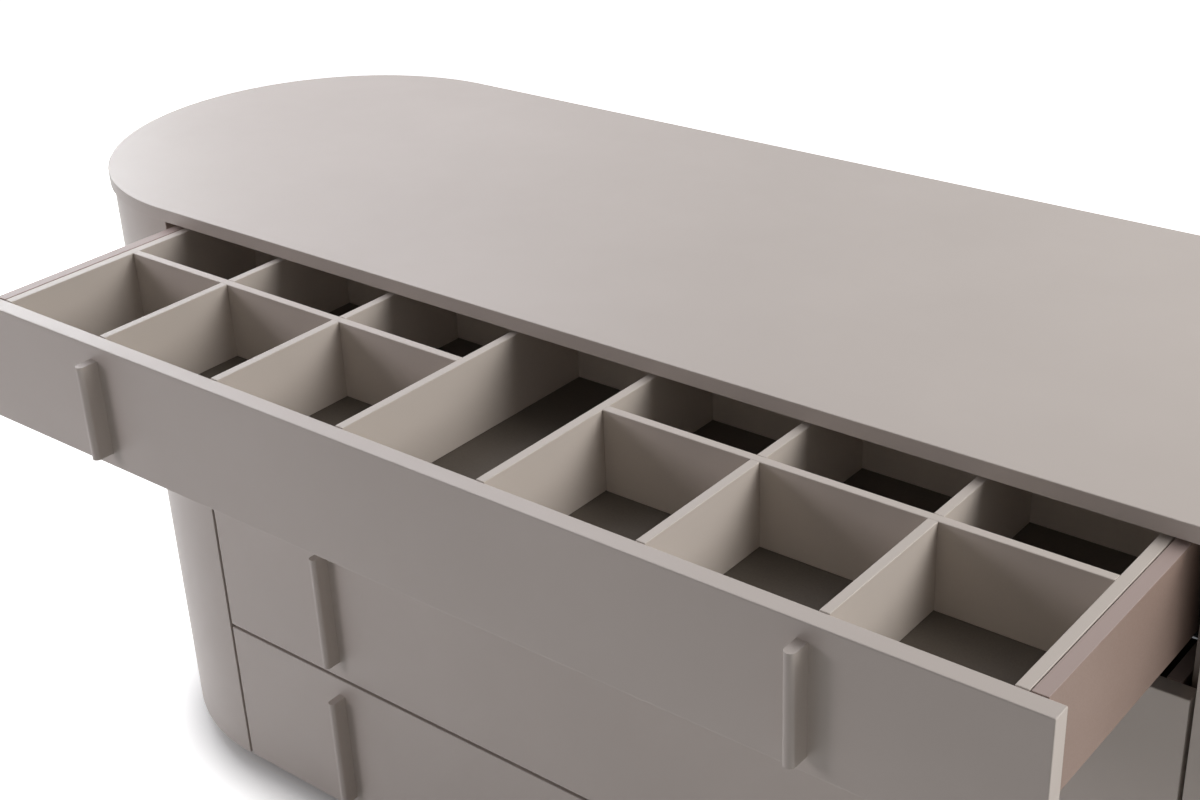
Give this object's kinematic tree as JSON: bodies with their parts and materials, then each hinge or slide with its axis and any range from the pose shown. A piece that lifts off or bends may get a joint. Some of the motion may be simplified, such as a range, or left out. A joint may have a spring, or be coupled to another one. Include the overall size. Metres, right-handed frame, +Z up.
{
  "type": "dresser",
  "caption": "Long low lacquered dresser with rounded ends and full-width drawers on concealed runners; the top drawer stands open and holds a divided organiser",
  "frame": {"origin": "on the floor under the middle of the cabinet, at the centre foot", "axes": "+X to the right seen from the front, +Y to the back, +Z up; the drawers pull out towards -Y"},
  "size_m": [1.7096, 0.787, 0.771],
  "materials": {
    "greige_lacquer": "satin lacquer",
    "handle_lacquer": "satin lacquer",
    "organiser_board": "satin lacquer",
    "tan_drawer_side": "matt laminate",
    "dark_drawer_floor": "matt lining",
    "carcass_board": "matt laminate",
    "dark_plinth": "matt laminate",
    "zinc_plated_steel": "zinc plated",
    "black_foot": "matt"
  },
  "bodies": {
    "cabinet": {"top_panel": "greige_lacquer", "end_shell_left": "greige_lacquer", "end_shell_right": "greige_lacquer", "side_panel_left": "carcass_board", "side_panel_right": "carcass_board", "bottom_panel": "carcass_board", "back_panel": "carcass_board", "back_panel_screws": "zinc_plated_steel", "rear_rail": "carcass_board", "top_brackets": "zinc_plated_steel", "short_screws": "zinc_plated_steel", "plinth_long_rails": "dark_plinth", "plinth_cross_rails": "dark_plinth", "levelling_feet": "black_foot", "runner_rails": "zinc_plated_steel"},
    "top_drawer": {"top_drawer_front": "greige_lacquer", "top_drawer_side_left": "tan_drawer_side", "top_drawer_side_right": "tan_drawer_side", "top_drawer_back": "tan_drawer_side", "top_drawer_bottom": "dark_drawer_floor", "top_drawer_handle_left": "handle_lacquer", "top_drawer_handle_right": "handle_lacquer", "top_drawer_handle_screws": "zinc_plated_steel", "top_drawer_slides": "zinc_plated_steel", "organiser_side_left": "organiser_board", "organiser_side_right": "organiser_board", "organiser_back": "organiser_board", "organiser_cross_divider_1": "organiser_board", "organiser_cross_divider_2": "organiser_board", "organiser_full_divider_3": "organiser_board", "organiser_full_divider_4": "organiser_board", "organiser_cross_divider_5": "organiser_board", "organiser_cross_divider_6": "organiser_board", "organiser_long_divider_left": "organiser_board", "organiser_long_divider_right": "organiser_board"},
    "top_drawer_runner": {"top_drawer_middle_slides": "zinc_plated_steel"},
    "second_drawer": {"second_drawer_front": "greige_lacquer", "second_drawer_sides": "tan_drawer_side", "second_drawer_back": "tan_drawer_side", "second_drawer_bottom": "dark_drawer_floor", "second_drawer_handles": "handle_lacquer", "second_drawer_handle_screws": "zinc_plated_steel", "second_drawer_slides": "zinc_plated_steel"},
    "second_drawer_runner": {"second_drawer_middle_slides": "zinc_plated_steel"},
    "third_drawer": {"third_drawer_front": "greige_lacquer", "third_drawer_sides": "tan_drawer_side", "third_drawer_back": "tan_drawer_side", "third_drawer_bottom": "dark_drawer_floor", "third_drawer_handles": "handle_lacquer", "third_drawer_handle_screws": "zinc_plated_steel", "third_drawer_slides": "zinc_plated_steel"},
    "third_drawer_runner": {"third_drawer_middle_slides": "zinc_plated_steel"},
    "bottom_drawer": {"bottom_drawer_front": "greige_lacquer", "bottom_drawer_sides": "tan_drawer_side", "bottom_drawer_back": "tan_drawer_side", "bottom_drawer_bottom": "dark_drawer_floor", "bottom_drawer_handles": "handle_lacquer", "bottom_drawer_handle_screws": "zinc_plated_steel", "bottom_drawer_slides": "zinc_plated_steel"},
    "bottom_drawer_runner": {"bottom_drawer_middle_slides": "zinc_plated_steel"}
  },
  "joints": [
    {"name": "top_drawer_slide", "type": "slide", "parent": "cabinet", "child": "top_drawer", "axis": [0, -1, 0], "range_m": [-0.246, 0.074]},
    {"name": "top_drawer_runner_slide", "type": "slide", "parent": "cabinet", "child": "top_drawer_runner", "axis": [0, -1, 0], "range_m": [-0.123, 0.037]},
    {"name": "second_drawer_slide", "type": "slide", "parent": "cabinet", "child": "second_drawer", "axis": [0, -1, 0], "range_m": [0, 0.32]},
    {"name": "second_drawer_runner_slide", "type": "slide", "parent": "cabinet", "child": "second_drawer_runner", "axis": [0, -1, 0], "range_m": [0, 0.16]},
    {"name": "third_drawer_slide", "type": "slide", "parent": "cabinet", "child": "third_drawer", "axis": [0, -1, 0], "range_m": [0, 0.32]},
    {"name": "third_drawer_runner_slide", "type": "slide", "parent": "cabinet", "child": "third_drawer_runner", "axis": [0, -1, 0], "range_m": [0, 0.16]},
    {"name": "bottom_drawer_slide", "type": "slide", "parent": "cabinet", "child": "bottom_drawer", "axis": [0, -1, 0], "range_m": [0, 0.32]},
    {"name": "bottom_drawer_runner_slide", "type": "slide", "parent": "cabinet", "child": "bottom_drawer_runner", "axis": [0, -1, 0], "range_m": [0, 0.16]}
  ],
  "couplings": [
    {"joint": "top_drawer_runner_slide", "follows": "top_drawer_slide", "ratio": 0.5},
    {"joint": "second_drawer_runner_slide", "follows": "second_drawer_slide", "ratio": 0.5},
    {"joint": "third_drawer_runner_slide", "follows": "third_drawer_slide", "ratio": 0.5},
    {"joint": "bottom_drawer_runner_slide", "follows": "bottom_drawer_slide", "ratio": 0.5}
  ]
}
